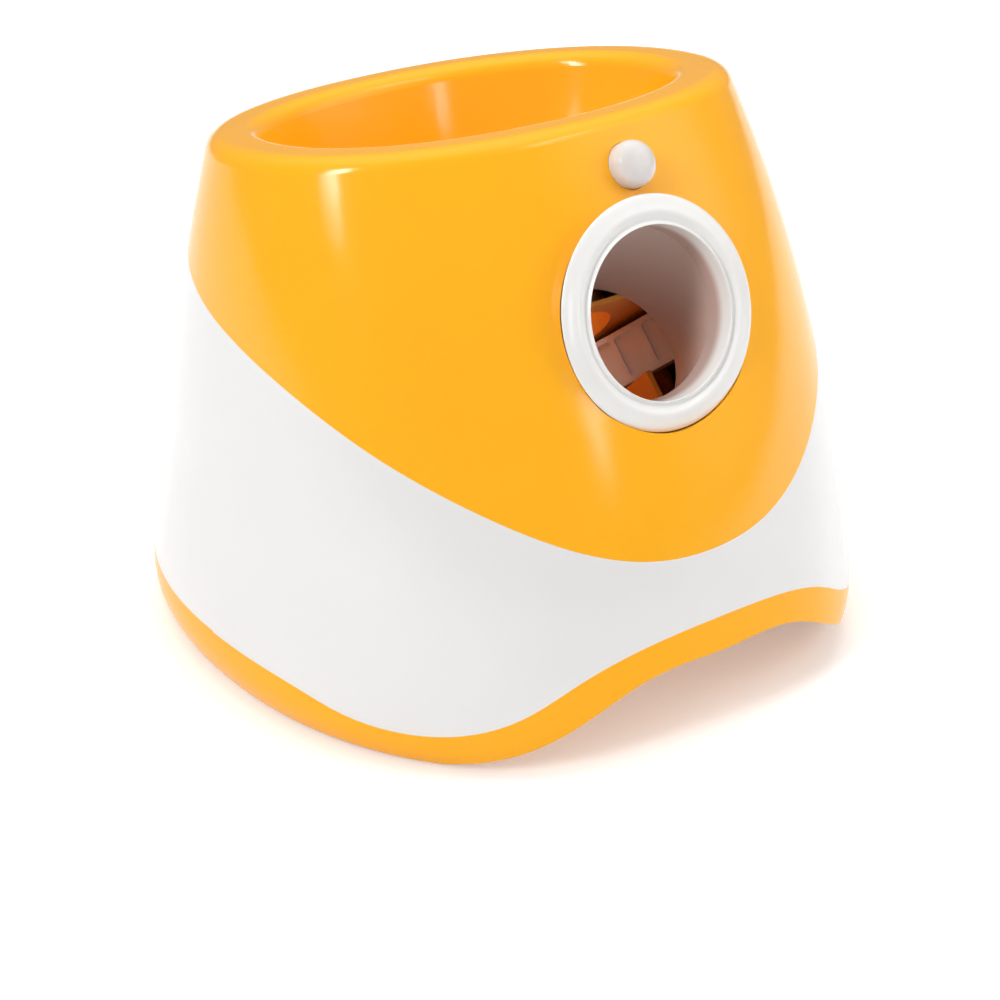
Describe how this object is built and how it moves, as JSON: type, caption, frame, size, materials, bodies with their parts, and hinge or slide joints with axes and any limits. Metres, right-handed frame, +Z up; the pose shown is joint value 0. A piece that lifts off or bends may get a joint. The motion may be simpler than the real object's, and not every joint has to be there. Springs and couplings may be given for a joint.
{
  "type": "automatic dog ball launcher",
  "caption": "Automatic dog ball launcher: flared tub with a ball bowl on top, a round launch opening in front and a wound striker arm inside.",
  "frame": {"origin": "centre of the foot outline on the ground plane; midway between the object's extremes in X and Y", "axes": "+Z up; -Y is the front, where the launch opening and the arch are; +X to the object's own left"},
  "size_m": [0.2858, 0.2993, 0.2288],
  "materials": {
    "orange_shell": "glossy",
    "white_shell": "glossy",
    "white_ring": "glossy",
    "tube_white": "satin",
    "lens_milky": "glossy",
    "orange_inner": "satin",
    "striker_beige": "satin",
    "dark_plastic": "satin",
    "grey_plastic": "satin",
    "gear_nylon": "satin",
    "rubber_black": "matte",
    "steel": "satin",
    "spring_steel": "satin",
    "brass": "satin",
    "board_green": "satin",
    "led_green": "glossy"
  },
  "bodies": {
    "housing": {"upper_shell": "orange_shell", "skirt_shell": "white_shell", "base_shell": "orange_shell", "rubber_feet": "rubber_black", "base_screws": "steel", "nozzle_ring": "white_ring", "launch_tube": "tube_white", "sensor_dome": "lens_milky", "sensor_board": "board_green", "infrared_detector": "steel", "control_panel": "grey_plastic", "led_lenses": "led_green", "dc_jack": "dark_plastic", "control_board": "board_green", "tact_switches": "dark_plastic", "control_board_screws": "steel", "battery_housing": "dark_plastic", "battery_housing_screws": "steel", "battery_contacts": "steel", "battery_springs": "spring_steel", "main_board": "board_green", "board_parts": "dark_plastic", "buzzer": "dark_plastic", "main_board_screws": "steel", "drive_gear_pin": "steel", "idler_gear_pin": "steel", "mechanism_frame": "orange_inner", "frame_screws": "steel", "gear_plate": "orange_inner", "gear_plate_screws": "steel", "chamber_cover": "orange_inner", "cover_screws": "steel", "arm_bushes": "brass", "arm_bumper": "rubber_black", "motor": "steel", "motor_end_cap": "dark_plastic", "ball_switch": "dark_plastic", "switch_pin": "steel"},
    "striker": {"striker_arm": "striker_beige", "arm_shaft": "steel", "arm_gear": "gear_nylon", "striker_spring": "spring_steel"},
    "drive_train_gear": {"drive_gear": "gear_nylon"},
    "idler": {"idler_gear": "gear_nylon"},
    "pinion": {"motor_pinion": "brass", "motor_shaft": "steel"},
    "power_button": {"power_button": "orange_shell"},
    "distance_button": {"distance_button": "white_shell"},
    "battery_door": {"battery_door": "orange_shell"},
    "switch_lever": {"switch_lever": "spring_steel"}
  },
  "joints": [
    {"name": "striker_swing", "type": "hinge", "parent": "housing", "child": "striker", "pos_m": [0.058, -0.06573, 0.12673], "axis": [0, 0.7071, 0.7071], "range_deg": [0, 50]},
    {"name": "drive_gear_turn", "type": "hinge", "parent": "housing", "child": "drive_train_gear", "pos_m": [0.02552, -0.05247, 0.11347], "axis": [0, 0.7071, 0.7071], "range_deg": [-89, 0]},
    {"name": "idler_gear_turn", "type": "hinge", "parent": "housing", "child": "idler", "pos_m": [-0.01348, -0.05247, 0.11347], "axis": [0, 0.7071, 0.7071], "range_deg": [0, 407]},
    {"name": "motor_pinion_turn", "type": "hinge", "parent": "housing", "child": "pinion", "pos_m": [-0.04308, -0.05247, 0.11347], "axis": [0, 0.7071, 0.7071], "range_deg": [-2101, 0]},
    {"name": "power_button_press", "type": "slide", "parent": "housing", "child": "power_button", "axis": [0, -0.9703, -0.2419], "range_m": [0, 0.0012], "stiffness_N_per_m": 400, "springref_m": -0.0005},
    {"name": "distance_button_press", "type": "slide", "parent": "housing", "child": "distance_button", "axis": [0, -0.9703, -0.2419], "range_m": [0, 0.0012], "stiffness_N_per_m": 400, "springref_m": -0.0005},
    {"name": "battery_door_slide", "type": "slide", "parent": "housing", "child": "battery_door", "axis": [0, 1, 0], "range_m": [0, 0.014]},
    {"name": "switch_lever_tilt", "type": "hinge", "parent": "housing", "child": "switch_lever", "pos_m": [-0.0306, -0.03037, 0.09137], "axis": [0, -0.7071, -0.7071], "range_deg": [0, 12], "stiffness_Nm_per_rad": 0.004, "springref_deg": -5.73}
  ],
  "couplings": [
    {"joint": "drive_gear_turn", "follows": "striker_swing", "ratio": -1.7778},
    {"joint": "idler_gear_turn", "follows": "striker_swing", "ratio": 8.127},
    {"joint": "motor_pinion_turn", "follows": "striker_swing", "ratio": -41.989}
  ]
}
